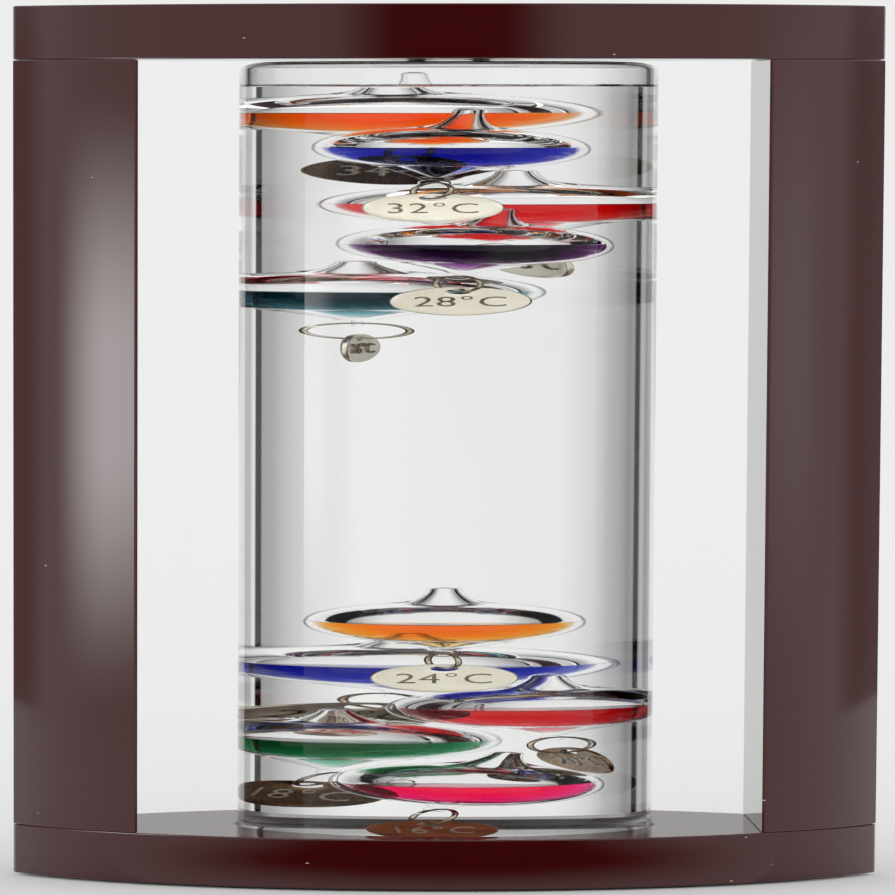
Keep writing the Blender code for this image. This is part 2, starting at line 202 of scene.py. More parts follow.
def arc(centre, radius, start, end, steps):
    turns = [math.radians(start + (end - start) * i / steps) for i in range(steps + 1)]
    return [(centre[0] + radius * math.cos(t), centre[1] + radius * math.sin(t)) for t in turns]


def lathe(profile, sides=ROUND, bm=None, material=0):
    """Spins (radius, height) points about Z. A profile that starts off the axis closes on itself."""
    bm = bm or bmesh.new()
    turns = [2 * math.pi * i / sides for i in range(sides)]
    rings = []
    for radius, height in profile:
        if radius < 1e-6:
            rings.append([bm.verts.new(point(0, 0, height))] * sides)
            continue
        circle = [(radius * math.cos(t), radius * math.sin(t)) for t in turns]
        rings.append([bm.verts.new(point(x, y, height)) for x, y in circle])
    pairs = list(zip(rings, rings[1:]))
    if profile[0][0] > 1e-6:
        pairs.append((rings[-1], rings[0]))
    for lower, upper in pairs:
        for i in range(sides):
            j = (i + 1) % sides
            corners = [lower[i], lower[j], upper[j], upper[i]]
            face = bm.faces.new([v for k, v in enumerate(corners) if v not in corners[:k]])
            face.material_index = material
    return bm


def tube_along(bm, path, radius, across, closed=False):
    """Sweeps a round section along points (Vectors, metres) that lie in one plane."""
    count = len(path)
    flat = (path[1] - path[0]).cross(path[2] - path[1]).normalized()
    turns = [2 * math.pi * j / across for j in range(across)]
    loops = []
    for i, here in enumerate(path):
        before = path[i - 1] if i or closed else here
        after = path[(i + 1) % count] if i + 1 < count or closed else here
        side = flat.cross((after - before).normalized())
        spokes = [side * math.cos(t) + flat * math.sin(t) for t in turns]
        loops.append([bm.verts.new(here + radius * spoke) for spoke in spokes])
    pairs = list(zip(loops, loops[1:])) + ([(loops[-1], loops[0])] if closed else [])
    for first, second in pairs:
        for j in range(across):
            k = (j + 1) % across
            bm.faces.new([first[j], first[k], second[k], second[j]])
    if not closed:
        bm.faces.new(loops[0])
        bm.faces.new(loops[-1])


def hanging_turn(lean_x, lean_y, turn):
    """Rotation of a hanging piece whose lower end leans to +X and +Y, after a turn about Z."""
    about_x = Matrix.Rotation(math.radians(lean_y), 3, "X")
    about_y = Matrix.Rotation(math.radians(-lean_x), 3, "Y")
    return about_x @ about_y @ Matrix.Rotation(math.radians(turn), 3, "Z")


# ---------------------------------------------------------------- materials
class Look:
    """A Principled material and the nodes that feed it."""

    def __init__(self, name, **sockets):
        self.material = bpy.data.materials.new(name)
        self.material.use_nodes = True
        self.tree = self.material.node_tree
        self.shader = self.tree.nodes["Principled BSDF"]
        for socket, value in sockets.items():
            self.set(socket.replace("_", " "), value)

    def set(self, socket, value):
        held = self.shader.inputs[socket]
        held.default_value = (*value, 1.0) if isinstance(value, tuple) else value

    def node(self, kind, inputs=(), **settings):
        made = self.tree.nodes.new("ShaderNode" + kind)
        for key, value in settings.items():
            setattr(made, key, value)
        for key, value in dict(inputs).items():
            if isinstance(value, bpy.types.NodeSocket):
                self.tree.links.new(value, made.inputs[key])
            else:
                made.inputs[key].default_value = value
        return made

    def link(self, socket, value):
        self.tree.links.new(value, self.shader.inputs[socket])

    def place(self, scale=(1, 1, 1)):
        """Object coordinates, stretched by scale."""
        coordinates = self.node("TexCoord").outputs["Object"]
        return self.node("Mapping", {"Vector": coordinates, "Scale": scale}).outputs["Vector"]

    def noise(self, where, scale, detail=3.0, roughness=0.5):
        inputs = {"Vector": where, "Scale": scale, "Detail": detail, "Roughness": roughness}
        return self.node("TexNoise", inputs).outputs["Fac"]

    def ramp(self, value, *stops):
        """A colour ramp of (position, colour) stops."""
        made = self.node("ValToRGB", {"Fac": value})
        elements = made.color_ramp.elements
        while len(elements) < len(stops):
            elements.new(0.5)
        for element, (position, colour) in zip(elements, stops):
            element.position = position
            element.color = (*colour, 1.0)
        return made.outputs["Color"]

    def span(self, value, low, high, to_low, to_high):
        inputs = {"Value": value, "From Min": low, "From Max": high, "To Min": to_low, "To Max": to_high}
        return self.node("MapRange", inputs).outputs["Result"]

    def bump(self, height, distance, strength=1.0):
        made = self.node("Bump", {"Height": height, "Distance": distance, "Strength": strength})
        self.link("Normal", made.outputs["Normal"])

    def absorb(self, colour, density):
        volume = self.node("VolumeAbsorption", {"Color": (*colour, 1.0), "Density": density})
        output = self.tree.nodes["Material Output"]
        self.tree.links.new(volume.outputs["Volume"], output.inputs["Volume"])


def lacquered_wood(name, grain_axis):
    """Dark maroon lacquer over fine straight grain, with a few dust specks under a clear coat."""
    look = Look(name, Roughness=0.4, Specular_IOR_Level=0.0, Coat_Weight=1.0, Coat_Roughness=0.09)
    stretch = [160.0, 160.0, 160.0]
    stretch[grain_axis] = 7.0
    grain = look.noise(look.place(tuple(stretch)), 6.0, 4.0, 0.6)
    cloud = look.noise(look.place(), 24.0, 2.0)
    both = look.node("Math", {0: grain, 1: cloud}, operation="ADD").outputs[0]
    dark, middle, light = (0.019, 0.0004, 0.0005), (0.028, 0.0007, 0.0009), (0.039, 0.0011, 0.0015)
    colour = look.ramp(both, (0.35, dark), (0.5, middle), (0.65, light))
    specks = look.node("TexVoronoi", {"Vector": look.place(), "Scale": 105.0}).outputs["Distance"]
    dust = look.span(specks, 0.02, 0.03, 1.0, 0.0)
    mixed = look.node("Mix", {0: dust, 6: colour, 7: (0.5, 0.47, 0.46, 1.0)}, data_type="RGBA")
    look.link("Base Color", mixed.outputs[2])
    look.bump(look.noise(look.place(), 70.0, 3.0), 0.00018, 0.25)
    return look.material


def beech():
    look = Look("beech", Roughness=0.6)
    grain = look.noise(look.place((300, 300, 20)), 5.0, 4.0)
    look.link("Base Color", look.ramp(grain, (0.3, (0.42, 0.27, 0.14)), (0.7, (0.6, 0.42, 0.25))))
    look.bump(grain, 0.0001, 0.4)
    return look.material


def black_felt():
    look = Look("black_felt", Roughness=0.95, Sheen_Weight=0.4, Sheen_Roughness=0.5)
    fibres = look.noise(look.place(), 2600.0, 5.0, 0.7)
    look.link("Base Color", look.ramp(fibres, (0.35, (0.006, 0.006, 0.007)), (0.7, (0.03, 0.03, 0.032))))
    look.bump(fibres, 0.0003, 0.8)
    return look.material


def silicone():
    look = Look("silicone", Roughness=0.45, Subsurface_Weight=0.2)
    mottle = look.noise(look.place(), 400.0, 2.0)
    look.link("Base Color", look.ramp(mottle, (0.3, (0.5, 0.5, 0.48)), (0.7, (0.6, 0.6, 0.58))))
    look.bump(mottle, 0.0001, 0.2)
    return look.material


def clear(name, ior, colour=(1.0, 1.0, 1.0), wet=False):
    """Glass or liquid. A wet skin touches another one, so it bends light but hardly reflects."""
    look = Look(name, Roughness=0.0, IOR=ior, Base_Color=colour, Transmission_Weight=1.0)
    if wet:
        look.set("Specular Tint", (0.0, 0.0, 0.0))
    return look


def tube_glass():
    """Tube glass with the faint draw lines of real tubing, too shallow to see except in a highlight."""
    look = clear("tube_glass", GLASS_IOR, (0.985, 0.99, 0.99))
    look.set("Specular Tint", (0.45, 0.45, 0.45))
    draw = look.noise(look.place((1, 1, 0.01)), 160.0, 2.0)
    look.bump(draw, 0.00004, 0.15)
    return look.material


def dyed_liquid(globe):
    look = clear(f"dyed_liquid_{globe.label}", DYE_IOR)
    look.set("Specular Tint", (0.2, 0.2, 0.2))
    look.absorb(globe.dye, globe.density)
    return look.material


def champagne_metal(name, low, high, roughness, metallic=1.0):
    """Thin plated brass: rubbed brighter in places, with fine scratches."""
    look = Look(name, Metallic=metallic)
    cloud = look.noise(look.place(), 260.0, 4.0, 0.6)
    look.link("Base Color", look.ramp(cloud, (0.35, low), (0.65, high)))
    scratches = look.noise(look.place((900, 900, 90)), 4.0, 3.0, 0.7)
    look.link("Roughness", look.span(scratches, 0.3, 0.7, roughness * 0.9, roughness * 1.15))
    look.bump(scratches, 0.00001, 0.04)
    return look.material


# ---------------------------------------------------------------- wooden frame
def lens_depth(x):
    """Half the frame's depth at this x: the plan is bounded by two arcs."""
    rise = HALF_DEPTH - EDGE_HALF
    radius = (HALF_WIDTH**2 + rise**2) / (2 * rise)
    return HALF_DEPTH - radius + math.sqrt(radius**2 - x**2)


def wooden_block(name, x_low, x_high, z_low, z_high, steps, material):
    """A slice of the lens-shaped plan with softly rounded edges."""
    xs = [x_low + (x_high - x_low) * i / steps for i in range(steps + 1)]
    outline = [(x, -lens_depth(x)) for x in xs] + [(x, lens_depth(x)) for x in reversed(xs)]
    bm = bmesh.new()
    base = bm.faces.new([bm.verts.new(point(x, y, z_low)) for x, y in outline])
    raised = bmesh.ops.extrude_face_region(bm, geom=[base])
    tops = [v for v in raised["geom"] if isinstance(v, bmesh.types.BMVert)]
    bmesh.ops.translate(bm, vec=point(0, 0, z_high - z_low), verts=tops)
    block = object_from(bm, name, material, angle=25)
    bevel = block.modifiers.new("rounded_edges", "BEVEL")
    bevel.width = mm(WOOD_BEVEL)
    bevel.segments = 3
    bevel.limit_method = "ANGLE"
    bevel.angle_limit = math.radians(30)
    return block


def dowel_holes(*sides):
    """The holes for dowels at the lower and upper joints, on those sides of the frame."""
    levels = [(z - DOWEL_HALF_LENGTH, z + DOWEL_HALF_LENGTH) for z in (SILL_Z, HEADER_Z)]
    return [[(side * DOWEL_X, DOWEL_RADIUS, low, high) for side in sides] for low, high in levels]


def drill(block, holes):
    """Cuts upright round holes, each (x, radius, low, high), and bakes the modifiers."""
    cutters = []
    for x, radius, low, high in holes:
        cutter = object_from(lathe([(0, low), (radius, low), (radius, high), (0, high)]), "cutter")
        cutter.location = point(x, 0, 0)
        cut = block.modifiers.new("drilled", "BOOLEAN")
        cut.operation = "DIFFERENCE"
        cut.solver = "EXACT"
        cut.object = cutter
        cutters.append(cutter)
    weighted = block.modifiers.new("flat_faces_stay_flat", "WEIGHTED_NORMAL")
    weighted.keep_sharp = True
    apply_modifiers(block)
    for cutter in cutters:
        bpy.data.objects.remove(cutter)


def wooden_frame():
    across = lacquered_wood("lacquer_across", 0)
    upright = lacquered_wood("lacquer_upright", 2)
    lower_holes, upper_holes = dowel_holes(-1, 1)
    base = wooden_block("wood_base", -HALF_WIDTH, HALF_WIDTH, BASE_LOW_Z, SILL_Z, 72, across)
    seat = (0, RECESS_RADIUS, SILL_Z - RECESS_DEPTH, SILL_Z + RECESS_DEPTH)
    drill(base, [seat] + lower_holes)
    header = wooden_block("wood_header", -HALF_WIDTH, HALF_WIDTH, HEADER_Z, HEIGHT, 72, across)
    bore = (0, HEADER_BORE_RADIUS, HEADER_Z - 5, HEADER_Z + HEADER_BORE_DEPTH)
    drill(header, [bore] + upper_holes)
    ride_for(base, "frame", "lacquered_wood", "base_block")
    ride_for(header, "frame", "lacquered_wood", "header_block")
    for where, side in (("left", -1), ("right", 1)):
        ends = sorted((side * WINDOW_HALF, side * HALF_WIDTH))
        name = f"wood_post_{where}"
        post = wooden_block(name, *ends, SILL_Z + JOINT_GAP, HEADER_Z - JOINT_GAP, 14, upright)
        lower_hole, upper_hole = dowel_holes(side)
        drill(post, lower_hole + upper_hole)
        ride_for(post, "frame", "lacquered_wood", f"{where}_post")


# ---------------------------------------------------------------- tube, its liquid and its seats
def glass_tube():
    inner = TUBE_RADIUS - TUBE_WALL
    inner_shoulder = SHOULDER_RADIUS - TUBE_WALL
    inner_foot = FOOT_RADIUS - TUBE_WALL / 2
    floor = TUBE_FOOT_Z + TUBE_FLOOR
    top = TUBE_TOP_Z - TUBE_WALL
    tip = TUBE_TOP_Z + NIPPLE_LENGTH
    outside = [(0, TUBE_FOOT_Z + 0.6), (TUBE_RADIUS - FOOT_RADIUS - 4, TUBE_FOOT_Z + 0.4)]
    outside += arc((TUBE_RADIUS - FOOT_RADIUS, TUBE_FOOT_Z + FOOT_RADIUS), FOOT_RADIUS, -90, 0, 10)
    shoulder = (TUBE_RADIUS - SHOULDER_RADIUS, TUBE_TOP_Z - SHOULDER_RADIUS)
    outside += arc(shoulder, SHOULDER_RADIUS, 0, 90, 10)
    outside += arc((NIPPLE_RADIUS + 2, TUBE_TOP_Z + 2), 2, 270, 180, 6)
    outside += [(NIPPLE_RADIUS, tip), (NIPPLE_BORE, tip)]
    inside = arc((NIPPLE_BORE + 0.8, top + 0.8), 0.8, 180, 270, 4)
    inside += arc((inner - inner_shoulder, top - inner_shoulder), inner_shoulder, 90, 0, 10)
    inside += [(inner, LIQUID_Z + MENISCUS)]
    inside += arc((inner - inner_foot, floor + inner_foot), inner_foot, 0, -90, 8)
    inside += [(0, floor)]
    wet = clear("wet_tube_glass", GLASS_IOR, wet=True).material
    turned = lathe(outside + inside, TUBE_SIDES)
    tube = object_from(turned, "glass_cylinder", tube_glass(), wet, angle=50)
    for face in tube.data.polygons:
        middle = face.center
        inward = face.normal.x * middle.x + face.normal.y * middle.y < 0 or face.normal.z > 0.3
        if inward and middle.z < mm(LIQUID_Z + MENISCUS) and middle.z > mm(floor - 0.1):
            face.material_index = 1
    ride_for(tube, "frame", "tube_glass", "glass_tube")


def clear_liquid():
    """The filling, up to its level, with its edge drawn up the glass in ever wider steps."""
    inner = TUBE_RADIUS - TUBE_WALL
    inner_foot = FOOT_RADIUS - TUBE_WALL / 2
    floor = TUBE_FOOT_Z + TUBE_FLOOR
    profile = [(0, floor - CONTACT)]
    profile += arc((inner - inner_foot, floor + inner_foot), inner_foot + CONTACT, -90, 0, 8)
    profile.append((inner + CONTACT, LIQUID_Z + MENISCUS))
    for step in range(12):
        inset = 0.25 * 1.42**step
        profile.append((inner - inset, LIQUID_Z + MENISCUS * math.exp(-inset / MENISCUS_WIDTH)))
    profile.append((0, LIQUID_Z))
    skin = clear("liquid_skin", LIQUID_IOR, (0.975, 0.98, 0.97), wet=True).material
    surface = clear("liquid_surface", LIQUID_IOR).material
    liquid = object_from(lathe(profile, TUBE_SIDES), "clear_filling", skin, surface, angle=50)
    for face in liquid.data.polygons:
        if face.normal.z > 0.2 and face.center.z > mm(LIQUID_Z - 1):
            face.material_index = 1
    ride_for(liquid, "frame", "clear_liquid")


def seats_and_seal():
    """The melted bead on the nipple; the hidden CAD pieces only take their materials."""
    tip = TUBE_TOP_Z + NIPPLE_LENGTH
    bead = [(0, tip - 4), (2.2, tip - 3.8), (2.7, tip - 3), (2.7, tip + 0.15)]
    bead += arc((3.3, tip + 1.1), 0.8, -80, 60, 6)
    bead += [(2.6, tip + 2.9), (1.4, tip + 3.7), (0, tip + 3.9)]
    seal = object_from(lathe(bead, 48), "melted_tip", tube_glass(), angle=60)
    ride_for(seal, "frame", "tube_glass", "tip_seal")
    finishes = {"felt_pad": black_felt(), "tube_foot_pad": silicone(), "header_grommet": silicone()}
    for where in ("left_lower", "left_upper", "right_lower", "right_upper"):
        finishes[f"dowel_{where}"] = beech()
    for node, material in finishes.items():
        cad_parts[node].data.materials.clear()
        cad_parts[node].data.materials.append(material)


# ---------------------------------------------------------------- globes
def between(a, b, c, d, t):
    """Catmull-Rom: the value at share t of the way from b to c."""
    square = (2 * a - 5 * b + 4 * c - d) * t**2
    cube = (3 * b - a - 3 * c + d) * t**3
    return 0.5 * (2 * b + (c - a) * t + square + cube)


def smooth_profile(points, steps):
    """A smooth curve through (radius, height) points."""
    padded = [points[0]] + points + [points[-1]]
    made = []
    for i in range(len(points) - 1):
        near = list(zip(*padded[i : i + 4]))
        made += [tuple(between(*values, step / steps) for values in near) for step in range(steps)]
    return made + [points[-1]]


def bowl(wall):
    """Bottom to top, points on the globe's flattened sphere pulled in by wall, clear of its stems."""
    unit = arc((0, 0), 1.0, -72, 72, 14)
    scaled = [((GLOBE_RADIUS - wall) * x, (GLOBE_HALF_HEIGHT - wall) * z) for x, z in unit]
    return [(radius, height) for radius, height in scaled if radius >= STEM_ROOT - wall]


def neck_line(globe):
    """The outside of the neck, which tapers from the bowl to its sealed tip."""
    middle = (NECK_ROOT + globe.neck) / 2
    return [(NECK_ROOT_RADIUS, NECK_ROOT), (NECK_MIDDLE_RADIUS, middle), (NECK_RADIUS, globe.neck - 1.2)]


def globe_outside(globe):
    tail_end = -globe.tail + EYE_RADIUS
    points = [(TAIL_RADIUS + 0.5, tail_end + 1.2)] + bowl(0)
    points += neck_line(globe)
    bead = arc((0, globe.neck - NECK_RADIUS), NECK_RADIUS, 20, 80, 5)
    foot = [(0, tail_end - 0.2), (0.8, tail_end - 0.12), (TAIL_RADIUS, tail_end + 0.25)]
    return foot + smooth_profile(points, 3) + bead + [(0, globe.neck)]


def globe_inside(globe, shrink=0.0):
    """The cavity, bottom to top and up the neck; a negative shrink pushes it into the glass."""
    low = -globe.tail + EYE_RADIUS + 1.6 + shrink
    points = [(0.5, low + 0.05), (0.9 - shrink, low + 0.5)] + bowl(GLOBE_WALL + shrink)
    points += [(radius - NECK_WALL, height) for radius, height in neck_line(globe)]
    return [(0, low)] + smooth_profile(points, 3) + [(0.8, globe.neck - 0.7), (0, globe.neck - 0.5)]


def placed(bm, globe, offset=Vector((0, 0, 0)), turn=None):
    """Moves a bmesh from the globe's own frame (or one turned about offset) to its place in the part."""
    if turn:
        bmesh.ops.rotate(bm, matrix=turn, verts=bm.verts)
    bmesh.ops.translate(bm, vec=point(*globe.centre) + offset, verts=bm.verts)


def globe_lean(globe):
    return Matrix.Rotation(math.radians(globe.lean), 3, "Y")


def globe_shell(globe, wall_glass, cavity_glass, dry_glass):
    """Blown wall with its cavity, and the glass loop that the wire ring hangs in."""
    bm = lathe(globe_outside(globe), GLOBE_SIDES)
    lathe(globe_inside(globe), GLOBE_SIDES, bm, material=1)
    turn = Matrix.Rotation(math.radians(90 + globe.ring[2]), 3, "Z")
    path = []
    for i in range(28):
        t = 2 * math.pi * i / 28
        path.append(turn @ point(0, EYE_RADIUS * math.cos(t), EYE_RADIUS * math.sin(t) - globe.tail))
    tube_along(bm, path, mm(EYE_WIRE), WIRE_SIDES, closed=True)
    placed(bm, globe, turn=globe_lean(globe))
    for face in bm.faces:
        if face.material_index == 0 and face.calc_center_median().z > mm(LIQUID_Z + 0.3):
            face.material_index = 2
    materials = (wall_glass, cavity_glass, dry_glass)
    shell = object_from(bm, f"blown_globe_{globe.label}", *materials, angle=60, hollow=1)
    ride_for(shell, f"globe_{globe.label}", "globe_glass", f"globe_{globe.label}_shell")


def dyed_filling(globe):
    """The coloured liquid, level even in a leaning globe, its rim drawn a little up the glass."""
    bm = lathe(globe_inside(globe, -CONTACT), GLOBE_SIDES)
    bmesh.ops.rotate(bm, matrix=globe_lean(globe), verts=bm.verts)
    geometry = list(bm.verts) + list(bm.edges) + list(bm.faces)
    cut = bmesh.ops.bisect_plane(
        bm, geom=geometry, plane_co=point(0, 0, DYE_RISE), plane_no=(0, 0, 1), clear_outer=True
    )
    rim_edges = [e for e in cut["geom_cut"] if isinstance(e, bmesh.types.BMEdge)]
    loop = ordered_loop(rim_edges)
    middle = sum((v.co for v in loop), Vector()) / len(loop)
    previous = loop
    for share in (0.985, 0.965, 0.94, 0.90, 0.84, 0.70, 0.40):
        inset = (1 - share) * GLOBE_RADIUS
        height = mm(DYE_RISE * math.exp(-inset / DYE_RISE_WIDTH))
        spots = [(middle + (v.co - middle) * share).xy for v in loop]
        ring = [bm.verts.new((x, y, height)) for x, y in spots]
        for i in range(len(loop)):
            j = (i + 1) % len(loop)
            bm.faces.new([previous[i], previous[j], ring[j], ring[i]])
        previous = ring
    bm.faces.new(previous)
    placed(bm, globe)
    liquid = object_from(bm, f"dyed_filling_{globe.label}", dyed_liquid(globe), angle=60)
    ride_for(liquid, f"globe_{globe.label}", f"liquid_{globe.label}", f"globe_{globe.label}_liquid")


def ordered_loop(edges):
    """The vertices of a closed run of edges, in order."""
    start = edges[0].verts[0]
    loop, here, last = [start], edges[0].verts[1], edges[0]
    wanted = set(edges)
    while here is not start:
        loop.append(here)
        last = next(e for e in here.link_edges if e in wanted and e is not last)
        here = last.other_vert(here)
    return loop


def wire_ring(globe, metal):
    """A jump ring: wire bent round until its two cut ends nearly meet."""
    bm = bmesh.new()
    path = []
    for i in range(61):
        t = math.radians(38 + 354 * i / 60)
        path.append(point(0, RING_RADIUS * math.cos(t), RING_RADIUS * math.sin(t) - RING_RADIUS))
    tube_along(bm, path, mm(RING_WIRE), WIRE_SIDES)
    hook = globe_lean(globe) @ point(0, 0, -globe.tail)
    placed(bm, globe, hook, hanging_turn(*globe.ring))
    ring = object_from(bm, f"jump_ring_{globe.label}", metal, angle=50)
    ride_for(ring, f"ring_{globe.label}", "ring_wire", f"globe_{globe.label}_ring")


def number_mesh(globe, side):
    """The temperature in raised figures, standing just off a face of the tag."""
    text = bpy.data.curves.new("figures", "FONT")
    text.body = f"{globe.label}°C"
    text.size = mm(FIGURE_SIZE)
    text.align_x = "CENTER"
    text.align_y = "CENTER"
    text.extrude = mm(FIGURE_RELIEF)
    text.bevel_depth = mm(FIGURE_BEVEL)
    text.resolution_u = 3
    text.offset = mm(-FIGURE_THINNING)
    text.space_character = 1.06
    carrier = bpy.data.objects.new("figures", text)
    bpy.context.scene.collection.objects.link(carrier)
    depsgraph = bpy.context.evaluated_depsgraph_get()
    mesh = bpy.data.meshes.new_from_object(carrier.evaluated_get(depsgraph))
    bpy.data.objects.remove(carrier)
    bpy.data.curves.remove(text)
    narrow = Matrix.Diagonal((*FIGURE_STRETCH, 1.0, 1.0))
    upright = Matrix.Rotation(math.radians(90), 4, "X")
    facing = Matrix.Rotation(math.radians(0 if side < 0 else 180), 4, "Z")
    mesh.transform(facing @ upright @ narrow)
    middle = point(0, side * (TAG_THICKNESS / 2 - 0.02), -TAG_HOLE_RISE - 0.4)
    mesh.transform(Matrix.Translation(middle))
    return mesh


def tag_disc():
    """A pressed disc with a low rounded rim and a hole near its edge; the origin is the hole's middle.

    Each step is a share of the way from the hole to the edge, and the height there.
    """
    sides = 72
    half = TAG_THICKNESS / 2
    face = half - TAG_RIM
    steps = [(0.0, half - 0.16), (0.06, face), (0.14, face), (0.80, face), (0.86, half)]
    steps += [(0.955, half), (0.985, half - 0.08), (1.0, half - 0.2)]
    bm = bmesh.new()
    turns = [2 * math.pi * (i + 0.5) / sides for i in range(sides)]
    loops = []
    for side, order in ((-1, 1), (1, -1)):
        for share, y in steps[::order]:
            loop = []
            for turn in turns:
                across, up = math.cos(turn), math.sin(turn)
                along = up * TAG_HOLE_RISE
                reach = -along + math.sqrt(along**2 + TAG_RADIUS**2 - TAG_HOLE_RISE**2)
                radius = TAG_HOLE_RADIUS + (reach - TAG_HOLE_RADIUS) * share
                loop.append(bm.verts.new(point(radius * across, side * y, radius * up)))
            loops.append(loop)
    for first, second in zip(loops, loops[1:] + loops[:1]):
        for i in range(sides):
            j = (i + 1) % sides
            bm.faces.new([first[i], first[j], second[j], second[i]])
    return bm


def stamped_tag(globe, metal, figures_metal):
    bm = tag_disc()
    plain = len(bm.faces)
    for side in (-1, 1):
        figures = number_mesh(globe, side)
        bm.from_mesh(figures)
        bpy.data.meshes.remove(figures)
    bm.faces.ensure_lookup_table()
    for face in bm.faces[plain:]:
        face.material_index = 1
    hook = globe_lean(globe) @ point(0, 0, -globe.tail)
    hole = hook + hanging_turn(*globe.ring) @ point(0, 0, -2 * RING_RADIUS)
    placed(bm, globe, hole, hanging_turn(*globe.tag))
    tag = object_from(bm, f"temperature_tag_{globe.label}", metal, figures_metal, angle=30)
    ride_for(tag, f"tag_{globe.label}", "tag_metal", f"globe_{globe.label}_tag")


def globes():
    wall_glass = clear("globe_glass", GLOBE_IOR).material
    cavity_glass = clear("globe_cavity_glass", LIQUID_IOR)
    cavity_glass.set("Specular Tint", (0.6, 0.6, 0.6))
    dry_glass = clear("globe_glass_above_liquid", GLASS_IOR).material
    ring_metal = champagne_metal("ring_wire", (0.36, 0.31, 0.24), (0.56, 0.49, 0.38), 0.2)
    polished = champagne_metal("polished_tag", (0.95, 0.87, 0.70), (1.0, 0.96, 0.83), 0.3)
    dark_figures = champagne_metal("dark_figures", (0.19, 0.16, 0.12), (0.30, 0.25, 0.18), 0.4)
    # The dark tag colour below is a painted dark reflection of the wood, used for tags 34, 20 and 18.
    painted_dark_reflection = champagne_metal("tag_painted_dark_reflection", (0.24, 0.15, 0.09), (0.42, 0.29, 0.17), 0.25)
    # The orange tag colour below is a painted reflection of the pink liquid, used for tag 16.
    painted_pink_reflection = champagne_metal("tag_painted_pink_reflection", (0.55, 0.22, 0.09), (0.78, 0.40, 0.17), 0.3, 0.5)
    pale_figures = champagne_metal("pale_figures", (0.86, 0.80, 0.70), (0.94, 0.90, 0.82), 0.4, 0.5)
    # Tags whose colour is a painted reflection, each with pale figures.
    painted_reflection_tags = {label: (painted_dark_reflection, pale_figures) for label in (34, 20, 18)}
    painted_reflection_tags[16] = (painted_pink_reflection, pale_figures)
    for globe in GLOBES:
        globe_shell(globe, wall_glass, cavity_glass.material, dry_glass)
        dyed_filling(globe)
        wire_ring(globe, ring_metal)
        stamped_tag(globe, *painted_reflection_tags.get(globe.label, (polished, dark_figures)))


# ---------------------------------------------------------------- studio
def stage_mesh(name, corners, faces, material, hidden=True):
    """A piece of studio. A hidden one shows only in glass and in reflections."""
    mesh = bpy.data.meshes.new(name)
    mesh.from_pydata([tuple(corner) for corner in corners], [], faces)
    mesh.materials.append(material)
    obj = bpy.data.objects.new(name, mesh)
    bpy.context.scene.collection.objects.link(obj)
    obj.visible_camera = not hidden
    obj.visible_diffuse = not hidden
    obj.visible_shadow = not hidden
    return obj


def card(name, centre, right, up, material, hidden=True):
    """A flat card with half sides right and up, in metres."""
    centre, right, up = Vector(centre), Vector(right), Vector(up)
    corners = [centre - right - up, centre + right - up, centre + right + up, centre - right + up]
    return stage_mesh(name, corners, [(0, 1, 2, 3)], material, hidden)


def glowing(name):
    """A look that only gives light, and its Object coordinates, split."""
    look = Look(name, Base_Color=(0.0, 0.0, 0.0), Specular_IOR_Level=0.0, Emission_Color=(1.0, 1.0, 1.0))
    return look, look.node("SeparateXYZ", {0: look.node("TexCoord").outputs["Object"]}).outputs


def panel(name, centre, half, fade, brightness):
    """A flat panel that only gloss sees, which blends into the surroundings toward its edges.

    One of its three half sides is 0. fade is the share of each half side that the blend takes.
    """
    look, where = glowing(name)
    strength = brightness - SURROUNDINGS
    sides = []
    for axis, middle, reach in zip("XYZ", centre, half):
        if not reach:
            continue
        sides.append([reach if axis == other else 0.0 for other in "XYZ"])
        away = look.node("Math", {0: where[axis], 1: middle}, operation="SUBTRACT").outputs[0]
        away = look.node("Math", {0: away}, operation="ABSOLUTE").outputs[0]
        inner = reach * (1 - fade)
        limits = {"Value": away, "From Min": inner, "From Max": reach, "To Min": 1.0, "To Max": 0.0}
        fall = look.node("MapRange", limits, interpolation_type="SMOOTHSTEP").outputs["Result"]
        strength = look.node("Math", {0: strength, 1: fall}, operation="MULTIPLY").outputs[0]
    total = look.node("Math", {0: strength, 1: SURROUNDINGS}, operation="ADD").outputs[0]
    look.link("Emission Strength", total)
    card(name, centre, *sides, look.material).visible_transmission = False


def through_tube(offset, reach):
    """Where on a round wall a level view past the tube's axis ends, in degrees right of straight back.

    offset is how far right of the axis the view enters the tube, and reach the wall's radius, both in mm.
    """
    entry = math.asin(offset / TUBE_RADIUS)
    inside = math.asin(offset / TUBE_RADIUS / LIQUID_IOR)
    leave = entry - 2 * inside
    place = Vector((-math.sin(leave), math.cos(leave))) * TUBE_RADIUS
    heading = Vector((-math.sin(2 * (entry - inside)), math.cos(2 * (entry - inside))))
    along = place.dot(heading)
    end = place + heading * (math.sqrt(along**2 + reach**2 - TUBE_RADIUS**2) - along)
    return math.degrees(math.atan2(end.x, end.y))


def backdrop(reach, low, high, stops):
    """A round wall behind the object that only glass sees, in metres.

    stops are pairs: how far right of the tube's middle a grey shows from the front, in mm, and the grey.
    """
    look, where = glowing("backdrop")
    turn = look.node("Math", {0: where["X"], 1: where["Y"]}, operation="ARCTAN2").outputs[0]
    share = look.span(turn, math.radians(-90), math.radians(90), 0.0, 1.0)
    greys = [(0.5 + through_tube(offset, reach * 1000) / 180, (grey,) * 3) for offset, grey in stops]
    look.link("Emission Color", look.ramp(share, *sorted(greys)))
    look.set("Emission Strength", 1.0)
    corners = []
    for angle in range(-88, 89, 2):
        x, y = reach * math.sin(math.radians(angle)), reach * math.cos(math.radians(angle))
        corners += [(x, y, low), (x, y, high)]
    faces = [(i, i + 2, i + 3, i + 1) for i in range(0, len(corners) - 2, 2)]
    wall = stage_mesh("backdrop", corners, faces, look.material)
    wall.visible_glossy = False


